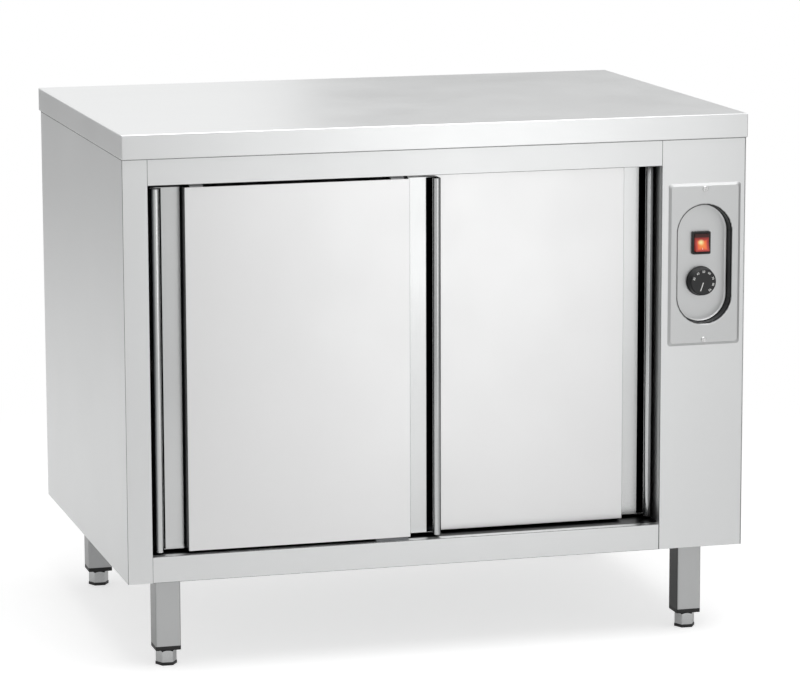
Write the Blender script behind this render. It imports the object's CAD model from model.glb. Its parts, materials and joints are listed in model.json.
import json
import math

import bmesh
import bpy
from mathutils import Matrix, Vector


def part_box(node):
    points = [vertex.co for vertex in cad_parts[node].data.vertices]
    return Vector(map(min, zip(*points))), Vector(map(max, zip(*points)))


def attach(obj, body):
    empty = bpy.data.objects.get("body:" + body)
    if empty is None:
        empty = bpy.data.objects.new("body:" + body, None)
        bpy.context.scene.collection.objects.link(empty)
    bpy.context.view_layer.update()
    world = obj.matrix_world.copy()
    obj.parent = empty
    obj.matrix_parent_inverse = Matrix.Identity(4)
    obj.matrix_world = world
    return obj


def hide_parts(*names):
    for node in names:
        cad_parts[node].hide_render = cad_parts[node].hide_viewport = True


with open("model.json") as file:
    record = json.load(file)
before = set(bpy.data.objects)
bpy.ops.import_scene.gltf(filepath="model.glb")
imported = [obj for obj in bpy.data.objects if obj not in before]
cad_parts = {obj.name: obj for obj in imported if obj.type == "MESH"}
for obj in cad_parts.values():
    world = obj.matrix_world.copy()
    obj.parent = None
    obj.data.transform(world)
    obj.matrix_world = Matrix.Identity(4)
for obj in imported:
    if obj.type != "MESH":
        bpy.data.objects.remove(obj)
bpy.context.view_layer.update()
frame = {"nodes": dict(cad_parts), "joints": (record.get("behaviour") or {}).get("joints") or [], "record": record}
MM = 0.001
NODES = frame["nodes"]
RECORD = frame["record"]

# Directions that a face can look along
FRONT = (0, -1, 0)
LEFT = (-1, 0, 0)
RIGHT = (1, 0, 0)

# The photograph's viewpoint: place in metres, turns in degrees, focal length and width in pixels
EYE = (-1.5966, -5.8397, 1.5050)
YAW = 15.562
PITCH = 10.103
ROLL = -0.165
FOCAL_PX = 3749.6
PHOTO_WIDTH_PX = 800
SENSOR_MM = 36

# The world's fill light, the floor's tone, and how far the floor is lifted for the camera
FILL = 0.55
FLOOR = "#CECECE"
LIFT = 0.6
# Distances from the middle over which the floor turns to pure white
WHITE_START = 0.7
WHITE_END = 1.9
# Places on the floor that throw more light at the metal: centre, full and last radius, level
FLOOR_GLOWS = (((0.39, -1.8, 0), 0.1, 0.8, 0.52), ((-1.0, 1.9, 0), 0.3, 5.0, 0.38))
# Cards that the metal reflects: middle, width, height, turn in degrees, brightness
CARDS = {
    "bright_card": ((0.78, -2.8, 1.0), 0.9, 2.6, 15, 1.7),
    "front_card": ((0.5, -4.8, 1.4), 9.0, 3.2, 0, 0.60),
    "side_card": ((-2.3, -0.45, 1.1), 4.1, 2.8, 90, 0.5),
    "grey_card": ((2.6, -0.4, 1.1), 3.0, 2.8, 90, 0.40),
    "back_card": ((3.5, 4.5, 1.2), 5.0, 2.6, 0, 0.48),
}
LAMP_PLACE = (0.3, -0.9, 3.4)
LAMP_TARGET = (0.1, 0, 0.4)
LAMP_SIZE = 3.0
LAMP_POWER = 60

# Two faces that meet at more than this are a fold or a cut edge, and not one rounded surface
EDGE_TURN = math.radians(35)
# Faces wider than this are flat sheet and keep flat shading beside their rounded edges
WIDE = 6 * MM
# Faces narrower than this are the cut edge of a sheet, and folds shorter than this are corners
SHEET = 4 * MM
SHORT = 16 * MM
# From a door's front to behind its back
DOOR_REACH = 40 * MM


# Colour and node helpers

def linear(code):
    """The linear colour of an sRGB hex value, with full alpha."""
    values = [int(code[i:i + 2], 16) / 255 for i in (1, 3, 5)]
    return tuple(v / 12.92 if v <= 0.04045 else ((v + 0.055) / 1.055) ** 2.4 for v in values) + (1.0,)


WHITE = linear("#FFFFFF")
# The colour sockets of a Mix node, which share their names with its number and vector sockets
MIX_FROM = 6
MIX_TO = 7
MIX_RESULT = 2


def add(tree, kind, inputs=None, **settings):
    """Adds a node with its settings; an input takes a value or another node's socket."""
    node = tree.nodes.new(kind)
    for name, value in settings.items():
        setattr(node, name, value)
    for socket, value in (inputs or {}).items():
        if isinstance(value, bpy.types.NodeSocket):
            tree.links.new(value, node.inputs[socket])
        else:
            node.inputs[socket].default_value = value
    return node


def finish(name, colour, **values):
    """A material with one shader; the values are set on the shader's own sockets."""
    material = bpy.data.materials.new(name)
    material.use_nodes = True
    tree = material.node_tree
    tree.nodes.clear()
    sockets = {key.replace("_", " "): value for key, value in values.items()}
    shader = add(tree, "ShaderNodeBsdfPrincipled", {"Base Color": linear(colour), **sockets})
    add(tree, "ShaderNodeOutputMaterial", {"Surface": shader.outputs["BSDF"]})
    return material, tree, shader


def grain(tree, size_mm, detail=2.0):
    """A pattern of grains that measure size_mm along each axis."""
    place = add(tree, "ShaderNodeTexCoord")
    mapping = add(tree, "ShaderNodeMapping", {
        "Vector": place.outputs["Object"], "Scale": [1 / (size * MM) for size in size_mm]})
    return add(tree, "ShaderNodeTexNoise", {
        "Vector": mapping.outputs["Vector"], "Scale": 1.0, "Detail": detail, "Roughness": 0.6})


# Kinds of finish

def brushed_stainless(name, tone, roughness, grain_mm, spread=0.04, bump=0.03):
    """Stainless, ground to a satin grain, with a faint cloudiness a hand long. Real scratches are
    0.05 mm apart and too fine to show, so the grain is drawn a dozen times coarser and kept faint."""
    cloud_mm = (160, 160, 160)
    scratch_depth = 0.05 * MM
    material, tree, shader = finish(name, tone, Metallic=1.0, Roughness=roughness)
    scratches = grain(tree, grain_mm, detail=3.0)
    clouds = grain(tree, cloud_mm)
    # Each noise keeps mostly between 0.3 and 0.7, and their sum between twice that
    both = add(tree, "ShaderNodeMath", {
        0: scratches.outputs["Fac"], 1: clouds.outputs["Fac"]}, operation="ADD")
    rough = add(tree, "ShaderNodeMapRange", {
        "Value": both.outputs[0], "From Min": 0.6, "From Max": 1.4,
        "To Min": roughness - spread, "To Max": roughness + spread})
    tree.links.new(rough.outputs["Result"], shader.inputs["Roughness"])
    relief = add(tree, "ShaderNodeBump", {
        "Strength": bump, "Distance": scratch_depth, "Height": scratches.outputs["Fac"]})
    tree.links.new(relief.outputs["Normal"], shader.inputs["Normal"])
    return material


def gritty(name, tone, roughness, grit_mm, bump):
    """A plastic, enamel, wool or board with the fine grit of its mould, its baking or its fibres."""
    grit_depth = 0.1 * MM
    material, tree, shader = finish(name, tone, Roughness=roughness)
    grit = grain(tree, (grit_mm, grit_mm, grit_mm))
    relief = add(tree, "ShaderNodeBump", {
        "Strength": bump, "Distance": grit_depth, "Height": grit.outputs["Fac"]})
    tree.links.new(relief.outputs["Normal"], shader.inputs["Normal"])
    return material


def mixed_in(material, mask, dark):
    """Mixes another tone into the material's colour where the mask says so."""
    tree = material.node_tree
    shader = next(node for node in tree.nodes if node.type == "BSDF_PRINCIPLED")
    colour = shader.inputs["Base Color"]
    tone = colour.links[0].from_socket if colour.is_linked else tuple(colour.default_value)
    mixed = add(tree, "ShaderNodeMix", {
        MIX_FROM: tone, MIX_TO: linear(dark), "Factor": mask}, data_type="RGBA")
    tree.links.new(mixed.outputs[MIX_RESULT], colour)


def dull_inside(material, dark, limits, toward=FRONT, start=0.92, end=0.55):
    """Leaves the steel dull and dark between limits on an axis, on faces whose look along a
    direction lies past start and on to end: folded returns and slots miss the belt and hold
    grease, and read as dark lines beside the bright fronts."""
    tree = material.node_tree
    place = add(tree, "ShaderNodeTexCoord")
    spot = add(tree, "ShaderNodeSeparateXYZ", {"Vector": place.outputs["Object"]})
    look = add(tree, "ShaderNodeVectorMath", {
        0: place.outputs["Normal"], 1: toward}, operation="DOT_PRODUCT")
    mask = add(tree, "ShaderNodeMapRange", {
        "Value": look.outputs["Value"], "From Min": start, "From Max": end})
    for axis, (least, most) in limits.items():
        above = add(tree, "ShaderNodeMath", {0: spot.outputs[axis], 1: least}, operation="GREATER_THAN")
        below = add(tree, "ShaderNodeMath", {0: spot.outputs[axis], 1: most}, operation="LESS_THAN")
        both = add(tree, "ShaderNodeMath", {0: above.outputs[0], 1: below.outputs[0]}, operation="MULTIPLY")
        mask = add(tree, "ShaderNodeMath", {0: mask.outputs[0], 1: both.outputs[0]}, operation="MULTIPLY")
    mixed_in(material, mask.outputs[0], dark)


# Past the look of any face, so that a mask takes them all
EVERY_FACE = {"start": 3.0, "end": 2.0}


def dark_folds(material, dark):
    """Darkens the rounded folds, whose stretched steel has lost its grain: faces turned by some
    six degrees or more from all three axes, and fully from sixteen on."""
    bright = 0.995
    full = 0.96
    tree = material.node_tree
    place = add(tree, "ShaderNodeTexCoord")
    look = add(tree, "ShaderNodeVectorMath", {0: place.outputs["Normal"]}, operation="ABSOLUTE")
    parts = add(tree, "ShaderNodeSeparateXYZ", {"Vector": look.outputs[0]})
    most = add(tree, "ShaderNodeMath", {0: parts.outputs[0], 1: parts.outputs[1]}, operation="MAXIMUM")
    most = add(tree, "ShaderNodeMath", {0: most.outputs[0], 1: parts.outputs[2]}, operation="MAXIMUM")
    mask = add(tree, "ShaderNodeMapRange", {
        "Value": most.outputs[0], "From Min": bright, "From Max": full})
    mixed_in(material, mask.outputs[0], dark)


# Finishes of the outside

# Stainless sheet, belt ground along the worktop: reflections smear from front to back
WORKTOP = brushed_stainless("ground_stainless_worktop", "#E4E5E5", 0.34, (60, 0.7, 0.7))


def body_steel():
    """Satin stainless sheet, ground level with the floor: a soft, even sheen on fronts and sides."""
    steel = brushed_stainless("satin_stainless_body", "#E2E3E3", 0.38, (60, 60, 0.6))
    head_low, head_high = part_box("top_rail")
    foot_low, foot_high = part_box("bottom_rail")
    # The returns of the door frame beside and above the doors, behind its front
    beside = 15 * MM
    dull_inside(steel, "#1E1F20", {
        "X": (head_low.x - beside, head_high.x + beside),
        "Y": (head_low.y + 14 * MM, head_low.y + 145 * MM),
        "Z": (foot_low.z + 5 * MM, head_high.z - 10 * MM)})
    # The joint below the worktop
    joint = 1.2 * MM
    dull_inside(steel, "#3A3B3C", {"Z": (head_high.z - joint, head_high.z + joint)}, **EVERY_FACE)
    # The foot of the seam between the bottom rail and the control column
    margin = 1 * MM
    dull_inside(steel, "#4A4B4C", {
        "X": (head_high.x - 0.8 * MM, head_high.x + 0.6 * MM),
        "Y": (foot_low.y - margin, foot_low.y + margin),
        "Z": (foot_low.z - margin, foot_high.z + margin)}, **EVERY_FACE)
    dark_folds(steel, "#3A3C3E")
    return steel


def door_steel(side):
    """Satin stainless sheet with an upright grain: a bright panel inside dark folded edges."""
    steel = brushed_stainless(f"satin_stainless_door_{side}", "#E6E6E6", 0.34, (0.6, 0.6, 60))
    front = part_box(f"door_{side}_panel")[0].y
    dull_inside(steel, "#3E4042", {"Y": (front + 0.8 * MM, front + DOOR_REACH)})
    dark_folds(steel, "#303234")
    return steel


def grip_steel(side):
    """Smoother stainless on the door's pan, whose rolled lips and sunk strips the hands polish:
    a bright strip between a grey lip and a black slot."""
    steel = brushed_stainless(f"satin_stainless_grip_{side}", "#D6D7D7", 0.24, (0.6, 0.6, 60))
    panel_low, panel_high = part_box(f"door_{side}_panel")
    pan_low, pan_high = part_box(f"door_{side}_pan")
    front = panel_low.y
    margin = 1 * MM
    lip = 14 * MM
    lip_depths = (front - margin, front + lip)
    strip = front + 22 * MM
    # The slots behind the strips
    dull_inside(steel, "#17181A", {"Y": (strip + 1.2 * MM, front + DOOR_REACH)}, **EVERY_FACE)
    # The foot of the panel's wall
    dull_inside(steel, "#202122", {
        "X": (panel_low.x - 3 * MM, panel_low.x + margin),
        "Y": (strip - 2 * MM, strip + 2 * MM)}, **EVERY_FACE)
    # The two rolled lips, on the side that looks away from the light
    dull_inside(steel, "#86888A", {"X": (pan_low.x - margin, pan_low.x + lip), "Y": lip_depths},
                toward=LEFT, start=0.25, end=0.6)
    dull_inside(steel, "#5A5C5E", {"X": (pan_high.x - lip, pan_high.x + margin), "Y": lip_depths},
                toward=RIGHT, start=-0.2, end=0.9)
    return steel


def plate_steel():
    """Matt stainless, darker than the column: a quiet field with a slightly darker sloped border
    and a recess whose walls read almost black."""
    steel = brushed_stainless("matt_stainless_plate", "#CFD0D0", 0.42, (0.7, 0.7, 40))
    low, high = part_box("control_plate")
    face = low.y + 0.05 * MM
    border_depth = 3.5 * MM
    recess_depth = 18.9 * MM
    dull_inside(steel, "#C4C5C5", {"Y": (face, low.y + border_depth)}, start=0.98, end=0.9)
    dull_inside(steel, "#343536", {
        "X": (low.x + 13 * MM, high.x - 13 * MM),
        "Y": (face, low.y + recess_depth),
        "Z": (low.z + 34 * MM, high.z - 33 * MM)}, start=0.985, end=0.75)
    return steel


def leg_steel():
    """Square tube, ground along its length: darker than the sheet, and darker on its left sides."""
    steel = brushed_stainless("ground_stainless_tube", "#BDBEBE", 0.36, (0.6, 0.6, 50))
    left_sides = {"toward": LEFT, "start": 0.3, "end": 0.9}
    dull_inside(steel, "#A4A5A5", {}, **left_sides)
    # The front right leg's left side looks at the dark space below the cabinet
    low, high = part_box("leg_front_right")
    dull_inside(steel, "#4C4D4D", {"X": (low.x, high.x), "Y": (low.y, high.y)}, **left_sides)
    return steel


BODY = body_steel()
DOOR = {side: door_steel(side) for side in ("left", "right")}
GRIP = {side: grip_steel(side) for side in ("left", "right")}
PLATE = plate_steel()
LEG = leg_steel()

# Finishes of fittings and of what lies inside

# Stainless as the mill rolls it: a level, slightly darker shine in the chamber and on the back
LINING = brushed_stainless("mill_stainless_lining", "#C8C9C9", 0.32, (60, 60, 0.8), bump=0.02)
# Bright rolled stainless, which the rollers keep clean: long thin glints along the track
TRACK = brushed_stainless("bright_stainless_track", "#D0D0CF", 0.24, (50, 0.6, 0.6))
# Pressed steel, dull grey from the press oil
HANGER = brushed_stainless("pressed_steel_hanger", "#8C8D8E", 0.36, (0.6, 0.6, 20))
# Turned bright steel: fine rings level with the floor and a hard gleam on each corner of the foot
BRIGHT = brushed_stainless("turned_bright_steel", "#C9CACA", 0.22, (6, 6, 0.4), spread=0.05)
# Polished stainless screw heads, the brightest points of the plate
SCREW = brushed_stainless("polished_screw_steel", "#E2E2E2", 0.16, (6, 6, 6), spread=0.03)
# Zinc plate: bluish, with patches of more and less shine
ZINC = brushed_stainless("zinc_plated_steel", "#BFC1C2", 0.38, (3, 3, 3), spread=0.1)
# A steel tube that its own heat has tinted brown
TINTED = brushed_stainless("heat_tinted_tube", "#6E665E", 0.42, (4, 4, 4), spread=0.1)
# Bare aluminium sheet, pale and a little blue, with the roller's lines
ALUMINIUM = brushed_stainless("plain_aluminium", "#D5D6D8", 0.40, (30, 0.8, 0.8))
# Baked enamel on the motor: black with a slight orange-peel shine
ENAMEL = gritty("black_baked_enamel", "#26272A", 0.35, 0.8, 0.05)
# Polyamide from a spark-eroded mould: deep black with a dull, grainy gleam
BLACK = gritty("black_moulded_polyamide", "#141414", 0.48, 0.5, 0.15)
# Phenolic resin, a little smoother and greyer than the polyamide round it
KNOB = gritty("black_moulded_phenolic", "#1C1D1E", 0.42, 0.4, 0.12)
# Unpigmented nylon: a warm, waxy white
NYLON = gritty("natural_moulded_nylon", "#D9D8D2", 0.45, 0.6, 0.08)
# Grey nylon, which wears smooth under the doors
GREY_NYLON = gritty("grey_moulded_nylon", "#7E8083", 0.45, 0.6, 0.08)
# Terminal blocks, moulded in an even creamy white
TERMINAL = gritty("white_moulded_terminal", "#E6E5E0", 0.40, 0.6, 0.06)
# Pad-printed ink: flat white with hardly any shine
PRINT = gritty("white_pad_print", "#F0F0EE", 0.55, 0.3, 0.04)
# Mineral wool: yellow and quite without shine, with a rough felt of fibres
WOOL = gritty("yellow_mineral_wool", "#B7A56A", 0.95, 2.0, 0.8)
# Raw particle board: brown chips a couple of millimetres across
BOARD = gritty("raw_particle_board", "#A98F6B", 0.85, 1.5, 0.5)


def lit_rocker():
    """Red polycarbonate with a lamp behind its lens: an orange lens, brightest at its top left,
    in a dull red rim; the end that is pressed in stays in the dark of its frame."""
    material, tree, shader = finish("lit_red_polycarbonate", "#3A0E0B", Roughness=0.3)
    low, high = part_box("rocker")
    middle = (low + high) / 2
    half = (high - low) / 2
    # The lens, as shares of the rocker's half width and height
    lens_x = 0.62 * half.x
    lens_z = 0.50 * half.z
    lens_up = middle.z - 0.29 * half.z
    flat = 0.001
    place = add(tree, "ShaderNodeTexCoord")
    # In lens units, the lens reaches from -1 to 1
    mapping = add(tree, "ShaderNodeMapping", {
        "Vector": place.outputs["Object"],
        "Location": (-middle.x / lens_x, 0, -lens_up / lens_z),
        "Scale": (1 / lens_x, flat, 1 / lens_z)})
    spot = add(tree, "ShaderNodeSeparateXYZ", {"Vector": mapping.outputs["Vector"]})
    across = add(tree, "ShaderNodeMath", {0: spot.outputs["X"]}, operation="ABSOLUTE")
    along = add(tree, "ShaderNodeMath", {0: spot.outputs["Z"]}, operation="ABSOLUTE")
    corner_round = 0.15
    reach = add(tree, "ShaderNodeMath", {
        0: across.outputs[0], 1: along.outputs[0], 2: corner_round}, operation="SMOOTH_MAX")
    # The ramp's 0.5 is the lens's edge
    spread = add(tree, "ShaderNodeMath", {0: reach.outputs[0], 1: 0.5}, operation="MULTIPLY")
    glow = add(tree, "ShaderNodeValToRGB", {"Fac": spread.outputs[0]})
    stops = glow.color_ramp.elements
    stops.remove(stops[1])
    stops[0].color = linear("#FFA04A")
    for position, code in ((0.40, "#F4723C"), (0.50, "#DC5236"), (0.56, "#B8423A"), (0.75, "#8E2A22")):
        stops.new(position).color = linear(code)
    lamp = (-0.2, 0, 0.62)
    hot = add(tree, "ShaderNodeVectorMath", {
        0: mapping.outputs["Vector"], 1: lamp}, operation="DISTANCE")
    hot = add(tree, "ShaderNodeMapRange", {
        "Value": hot.outputs["Value"], "From Min": 0.75, "From Max": 0.15})
    lit = add(tree, "ShaderNodeMix", {
        MIX_FROM: glow.outputs["Color"], MIX_TO: linear("#FFF3A8"), "Factor": hot.outputs[0]},
        data_type="RGBA")
    # The pressed-in end, above the lens, fades into the frame's shadow
    shade = add(tree, "ShaderNodeMapRange", {
        "Value": spot.outputs["Z"], "From Min": 1.62, "From Max": 1.8, "To Min": 1.0, "To Max": 0.03})
    shaded = add(tree, "ShaderNodeVectorMath", {
        0: lit.outputs[MIX_RESULT], 1: shade.outputs["Result"]}, operation="MULTIPLY")
    tree.links.new(shaded.outputs[0], shader.inputs["Emission Color"])
    shader.inputs["Emission Strength"].default_value = 0.85
    return material


ROCKER = lit_rocker()


# Modelling helpers

BODY_OF = {node: body for body, nodes in RECORD["behaviour"]["bodies"].items() for node in nodes}


def alone(obj):
    """Selects one object and nothing else."""
    bpy.ops.object.select_all(action="DESELECT")
    obj.select_set(True)
    bpy.context.view_layer.objects.active = obj


def started(operator, **settings):
    """A new primitive, with nothing else selected."""
    bpy.ops.object.select_all(action="DESELECT")
    operator(**settings)
    return bpy.context.object


def placed(obj):
    """Takes the object's place, turn and scale into its mesh."""
    alone(obj)
    bpy.ops.object.transform_apply(location=True, rotation=True, scale=True)


def applied(obj, kind, **settings):
    """Adds a modifier with its settings and applies it."""
    modifier = obj.modifiers.new(kind.lower(), kind)
    for name, value in settings.items():
        setattr(modifier, name, value)
    alone(obj)
    bpy.ops.object.modifier_apply(modifier=modifier.name)


def settle(obj, name, material, body, replaced=()):
    """Applies the place, names and paints the piece and puts it on its body."""
    placed(obj)
    obj.name = name
    obj.data.name = name
    obj.data.materials.clear()
    obj.data.materials.append(material)
    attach(obj, body)
    if replaced:
        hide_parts(*replaced)


def merged(node):
    """A copy of a node's mesh with its loose triangles joined to whole faces."""
    obj = bpy.data.objects.new(node + "_finished", NODES[node].data.copy())
    bpy.context.scene.collection.objects.link(obj)
    alone(obj)
    bpy.ops.object.mode_set(mode="EDIT")
    bpy.ops.mesh.select_all(action="SELECT")
    bpy.ops.mesh.remove_doubles(threshold=0.01 * MM)
    bpy.ops.mesh.dissolve_limited(angle_limit=math.radians(0.5))
    bpy.ops.object.mode_set(mode="OBJECT")
    return obj


def round_edges(obj, width, segments=2, turn=EDGE_TURN, large=None):
    """Rounds every edge sharper than the turn; wide faces, or those over an area, stay flat."""
    applied(obj, "BEVEL", width=width, segments=segments, limit_method="ANGLE", angle_limit=turn)
    bpy.ops.object.shade_smooth_by_angle(angle=turn)
    for face in obj.data.polygons:
        corners = [obj.data.vertices[i].co for i in face.vertices]
        longest = max((a - b).length for a, b in zip(corners, corners[1:] + corners[:1]))
        if face.area > (large or WIDE * longest):
            face.use_smooth = False


def bend_folds(obj, radius):
    """Rounds the folds of a sheet piece: edges between two faces wider than the sheet is thick."""
    mesh = bmesh.new()
    mesh.from_mesh(obj.data)
    weights = mesh.edges.layers.float.new("bevel_weight_edge")
    for edge in mesh.edges:
        faces = edge.link_faces
        if len(faces) != 2 or edge.calc_face_angle(0) < EDGE_TURN:
            continue
        long = edge.calc_length()
        if long > SHORT and min(face.calc_area() for face in faces) > SHEET * long:
            edge[weights] = 1.0
    mesh.to_mesh(obj.data)
    mesh.free()
    applied(obj, "BEVEL", width=radius, segments=3, limit_method="WEIGHT")


def folded(node, material, width, segments=2, fold=0.0):
    """A node's piece with its folds bent round and its cut edges eased."""
    obj = merged(node)
    if fold:
        bend_folds(obj, fold)
    round_edges(obj, width, segments)
    settle(obj, obj.name, material, BODY_OF[node], (node,))


def narrow(obj, chosen, across, along, middle):
    """Scales the vertices that a test chooses, across X and Z about the piece's middle."""
    for part in (obj.data.edges, obj.data.polygons):
        part.foreach_set("select", [False] * len(part))
    for vertex in obj.data.vertices:
        vertex.select = chosen(vertex.co)
    alone(obj)
    bpy.context.tool_settings.mesh_select_mode = (True, False, False)
    bpy.ops.object.mode_set(mode="EDIT")
    bpy.ops.transform.resize(value=(across, 1, along), center_override=middle)
    bpy.ops.object.mode_set(mode="OBJECT")


def paint(material, *nodes):
    """Gives CAD nodes that stay as they are their finish."""
    for node in nodes:
        slots = NODES[node].data.materials
        slots.clear()
        slots.append(material)


# Sheet pieces and fittings whose edges are rounded

folded("worktop", WORKTOP, 0.2 * MM, fold=1.2 * MM)
for node in ("side_panel_left", "side_panel_right", "control_column", "top_rail", "bottom_rail"):
    folded(node, BODY, 0.15 * MM, fold=1.2 * MM)
for side in ("left", "right"):
    folded(f"door_{side}_panel", DOOR[side], 0.15 * MM, fold=1.4 * MM)
    folded(f"door_{side}_pan", GRIP[side], 0.15 * MM)
for corner in ("front_left", "front_right", "back_left", "back_right"):
    folded(f"leg_{corner}", LEG, 0.2 * MM)
    folded(f"foot_{corner}", BRIGHT, 0.5 * MM)
    folded(f"pad_{corner}", BLACK, 0.6 * MM)
folded("leg_plugs", BLACK, 0.4 * MM)
folded("switch_housing", BLACK, 0.8 * MM, segments=3)
folded("door_guide", GREY_NYLON, 0.4 * MM)


# Control plate, screws, rocker and dial

def control_plate():
    """The plate's outer edge slopes back to the column over a few millimetres."""
    slope = 4.4 * MM
    border = 6.5 * MM
    border_depth = 1.3 * MM
    low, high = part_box("control_plate")
    middle = (low + high) / 2
    half = (high - low) / 2
    obj = merged("control_plate")

    def front_border(place):
        outer = abs(place.x - middle.x) > half.x - border or abs(place.z - middle.z) > half.z - border
        return outer and place.y < low.y + border_depth

    narrow(obj, front_border, 1 - slope / half.x, 1 - slope / half.z, middle)
    round_edges(obj, 0.3 * MM, turn=math.radians(25), large=100 * MM * MM)
    settle(obj, "control_plate_finished", PLATE, "cabinet", ("control_plate",))


def knob():
    """The knob's side tapers by about five degrees towards its face, as a moulded knob's does."""
    taper = 0.945
    face_depth = 4 * MM
    low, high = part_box("knob")
    obj = merged("knob")
    narrow(obj, lambda place: place.y < low.y + face_depth, taper, taper, (low + high) / 2)
    round_edges(obj, 0.9 * MM, segments=3)
    settle(obj, "knob_finished", KNOB, "knob", ("knob",))


def cut_cross(obj, place, turn):
    """Cuts a cross recess into a screw's head, its arms turned about Y by some degrees."""
    reach = 5.4 * MM
    width = 1.0 * MM
    depth = 2.6 * MM
    for size in ((reach, depth, width), (width, depth, reach)):
        arm = started(bpy.ops.mesh.primitive_cube_add, size=1)
        arm.scale = size
        arm.rotation_euler = (0, math.radians(turn), 0)
        arm.location = place
        placed(arm)
        applied(obj, "BOOLEAN", operation="DIFFERENCE", object=arm, solver="EXACT")
        bpy.data.objects.remove(arm)


def plate_screws():
    """Pan heads with a cross recess, turned a little differently each."""
    low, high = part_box("control_plate_screws")
    head_r = (high.x - low.x) / 2
    middle = (low + high) / 2
    obj = merged("control_plate_screws")
    round_edges(obj, 1.1 * MM, segments=4, turn=math.radians(40))
    for z, turn in ((high.z - head_r, 20), (low.z + head_r, -35)):
        cut_cross(obj, (middle.x, low.y, z), turn)
    settle(obj, "control_plate_screws_finished", SCREW, "cabinet", ("control_plate_screws",))


def printed(text, name, body, size, place, turn):
    """A flat printed mark with a hair of thickness, facing the front."""
    obj = started(bpy.ops.object.text_add)
    obj.data.body = text
    obj.data.size = size
    obj.data.align_x = "CENTER"
    obj.data.align_y = "CENTER"
    obj.data.extrude = 0.05 * MM
    obj.data.offset = 0.06 * MM
    alone(obj)
    bpy.ops.object.convert(target="MESH")
    obj = bpy.context.object
    obj.matrix_world = Matrix.Translation(place) @ turn
    settle(obj, name, PRINT, body)


def dial():
    """Seven numbers round the knob's face from thirty to ninety, and its pointer line."""
    low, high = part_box("knob")
    centre = (low + high) / 2
    radius = (high.x - low.x) / 2
    print_y = low.y - 0.04 * MM

    def on_face(degrees, share):
        """The place at an angle round the knob, at a share of its radius, and the turn there."""
        angle = math.radians(degrees)
        out = share * radius
        place = Vector((centre.x + out * math.sin(angle), print_y, centre.z + out * math.cos(angle)))
        return place, Matrix.Rotation(angle, 4, "Y")

    upright = Matrix.Rotation(math.pi / 2, 4, "X")
    first_angle = 290
    step_angle = 35
    for step in range(7):
        place, turn = on_face(first_angle + step_angle * step, 0.70)
        number = 30 + 10 * step
        printed(str(number), f"knob_number_{number}", "knob", 4.8 * MM, place, turn @ upright)
    line = started(bpy.ops.mesh.primitive_cube_add, size=1)
    line.scale = (1.5 * MM, 0.1 * MM, 0.60 * radius)
    bpy.ops.object.transform_apply(location=False, rotation=False, scale=True)
    applied(line, "BEVEL", width=0.6 * MM, segments=3, limit_method="NONE")
    pointer_angle = 199
    place, turn = on_face(pointer_angle, 0.34)
    line.matrix_world = Matrix.Translation(place) @ turn
    settle(line, "knob_pointer", PRINT, "knob")


def lit_switch():
    """The rocker with softened edges and its mark for on."""
    obj = merged("rocker")
    round_edges(obj, 0.9 * MM, segments=4, turn=math.radians(20))
    settle(obj, "rocker_finished", ROCKER, "rocker", ("rocker",))
    pin = Vector(next(joint["pos_m"] for joint in frame["joints"] if joint["name"] == "rocker_tip"))
    place = pin + Vector((0, -6.8 * MM, -9.0 * MM))
    # The mark lies on the end that stands out, which leans back from upright
    lean = Matrix.Rotation(math.radians(70), 4, "X")
    printed("I", "rocker_mark_on", "rocker", 4.6 * MM, place, lean)


control_plate()
knob()
plate_screws()
lit_switch()
dial()

# Pieces inside, behind and below the cabinet keep the CAD's shape

paint(LINING, "back_panel", "base_panel", "chamber_wall_left", "chamber_wall_right", "chamber_back",
      "chamber_ceiling", "chamber_floor", "shelf", "shelf_rails", "air_baffle")
paint(WOOL, "insulation", "door_left_core", "door_right_core")
paint(BOARD, "worktop_board")
paint(TRACK, "door_tracks")
paint(HANGER, "door_left_hangers", "door_right_hangers")
paint(NYLON, "roller_left_a", "roller_left_b", "roller_right_a", "roller_right_b")
paint(ZINC, "thermostat_body", "thermostat_spindle", "leg_bolts")
paint(TINTED, "heating_element")
paint(ENAMEL, "fan_motor")
paint(ALUMINIUM, "fan_impeller")
paint(TERMINAL, "terminal_block")
paint(BLACK, "cable_gland")


# Light, floor and camera

def studio_world():
    """White where the camera, metal and glass look, softer as a fill light."""
    world = bpy.data.worlds.new("studio")
    bpy.context.scene.world = world
    world.use_nodes = True
    tree = world.node_tree
    tree.nodes.clear()
    path = add(tree, "ShaderNodeLightPath")
    seen = add(tree, "ShaderNodeMath", {
        0: path.outputs["Is Camera Ray"], 1: path.outputs["Is Glossy Ray"]}, operation="MAXIMUM")
    seen = add(tree, "ShaderNodeMath", {
        0: seen.outputs[0], 1: path.outputs["Is Transmission Ray"]}, operation="MAXIMUM")
    fill = add(tree, "ShaderNodeBackground", {"Color": WHITE, "Strength": FILL})
    back = add(tree, "ShaderNodeBackground", {"Color": WHITE, "Strength": 1.0})
    mixed = add(tree, "ShaderNodeMixShader", {
        "Fac": seen.outputs[0], 1: fill.outputs[0], 2: back.outputs[0]})
    add(tree, "ShaderNodeOutputWorld", {"Surface": mixed.outputs[0]})


def soft_box():
    """A large square area lamp above the front, facing the cabinet."""
    lamp = bpy.data.lights.new("top_light", "AREA")
    lamp.shape = "RECTANGLE"
    lamp.size = LAMP_SIZE
    lamp.size_y = LAMP_SIZE
    lamp.energy = LAMP_POWER
    obj = bpy.data.objects.new("top_light", lamp)
    bpy.context.scene.collection.objects.link(obj)
    obj.location = LAMP_PLACE
    beam = Vector(LAMP_TARGET) - Vector(LAMP_PLACE)
    obj.rotation_euler = beam.to_track_quat("-Z", "Y").to_euler()
    obj.visible_camera = False


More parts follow.
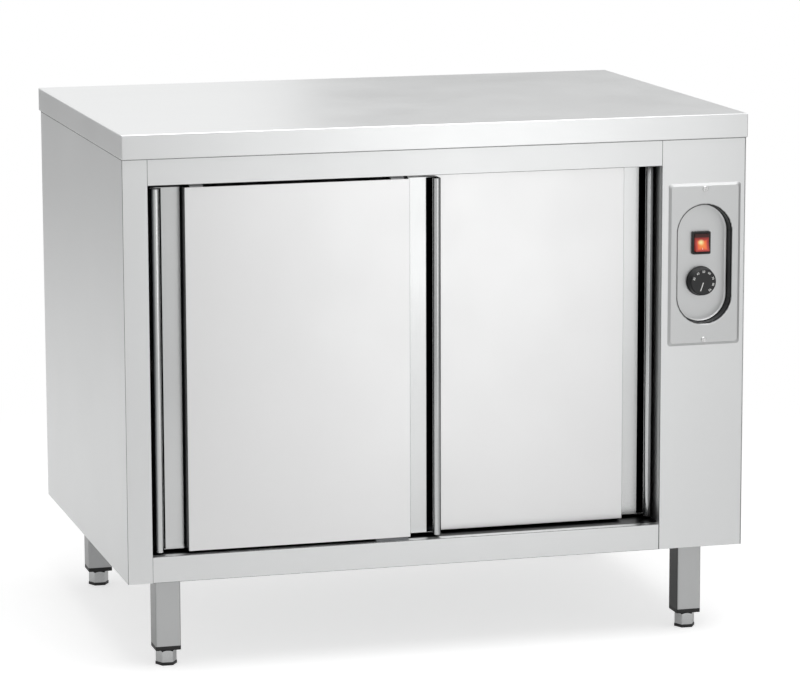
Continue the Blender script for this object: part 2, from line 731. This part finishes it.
def reflector(name, place, width, height, turn, shade):
    """A plain card that only the metal's reflections see, as studios stand beside polished goods."""
    card = started(bpy.ops.mesh.primitive_plane_add, size=1)
    card.matrix_world = (
        Matrix.Translation(place) @ Matrix.Rotation(math.radians(turn), 4, "Z")
        @ Matrix.Rotation(math.pi / 2, 4, "X") @ Matrix.Diagonal((width, height, 1, 1)))
    placed(card)
    card.name = name
    material = bpy.data.materials.new(name)
    material.use_nodes = True
    tree = material.node_tree
    tree.nodes.clear()
    glow = add(tree, "ShaderNodeEmission", {"Color": WHITE, "Strength": shade})
    add(tree, "ShaderNodeOutputMaterial", {"Surface": glow.outputs[0]})
    card.data.materials.append(material)
    card.visible_camera = False
    card.visible_diffuse = False
    card.visible_transmission = False
    card.visible_shadow = False


def studio_floor():
    """Pale floor: white to the camera with the soft shadow kept, and pure white further out."""
    just_below = -0.4 * MM
    floor = started(bpy.ops.mesh.primitive_plane_add, size=60, location=(0, 0, just_below))
    floor.name = "studio_floor"
    placed(floor)
    material, tree, shader = finish("matt_white_floor", FLOOR, Roughness=0.9)
    output = tree.nodes["Material Output"]
    path = add(tree, "ShaderNodeLightPath")
    lift = add(tree, "ShaderNodeMath", {0: path.outputs["Is Camera Ray"], 1: LIFT}, operation="MULTIPLY")
    place = add(tree, "ShaderNodeTexCoord")
    for centre, inner, outer, level in FLOOR_GLOWS:
        away = add(tree, "ShaderNodeVectorMath", {
            0: place.outputs["Object"], 1: centre}, operation="DISTANCE")
        near = add(tree, "ShaderNodeMapRange", {
            "Value": away.outputs["Value"], "From Min": outer, "From Max": inner},
            interpolation_type="SMOOTHSTEP")
        glow = add(tree, "ShaderNodeMath", {
            0: near.outputs[0], 1: path.outputs["Is Glossy Ray"]}, operation="MULTIPLY")
        lift = add(tree, "ShaderNodeMath", {
            0: glow.outputs[0], 1: level, 2: lift.outputs[0]}, operation="MULTIPLY_ADD")
    shader.inputs["Emission Color"].default_value = WHITE
    tree.links.new(lift.outputs[0], shader.inputs["Emission Strength"])
    reach = add(tree, "ShaderNodeVectorMath", {0: place.outputs["Object"]}, operation="LENGTH")
    far = add(tree, "ShaderNodeMapRange", {
        "Value": reach.outputs["Value"], "From Min": WHITE_START, "From Max": WHITE_END},
        interpolation_type="SMOOTHSTEP")
    seen = add(tree, "ShaderNodeMath", {
        0: far.outputs[0], 1: path.outputs["Is Camera Ray"]}, operation="MULTIPLY")
    white = add(tree, "ShaderNodeEmission", {"Color": WHITE, "Strength": 1.0})
    mixed = add(tree, "ShaderNodeMixShader", {
        "Fac": seen.outputs[0], 1: shader.outputs[0], 2: white.outputs[0]})
    tree.links.new(mixed.outputs[0], output.inputs["Surface"])
    floor.data.materials.append(material)


def photo_camera():
    """The photograph's viewpoint, with no shift."""
    data = bpy.data.cameras.new("photo_camera")
    data.sensor_width = SENSOR_MM
    data.lens = FOCAL_PX / PHOTO_WIDTH_PX * SENSOR_MM
    data.clip_end = 100
    camera = bpy.data.objects.new("photo_camera", data)
    bpy.context.scene.collection.objects.link(camera)
    camera.matrix_world = (
        Matrix.Translation(EYE)
        @ Matrix.Rotation(math.radians(-YAW), 4, "Z")
        @ Matrix.Rotation(math.radians(90 - PITCH), 4, "X")
        @ Matrix.Rotation(math.radians(ROLL), 4, "Z"))
    bpy.context.scene.camera = camera


studio_world()
studio_floor()
soft_box()
for name, card in CARDS.items():
    reflector(name, *card)
photo_camera()
bpy.context.scene.view_settings.view_transform = "Standard"
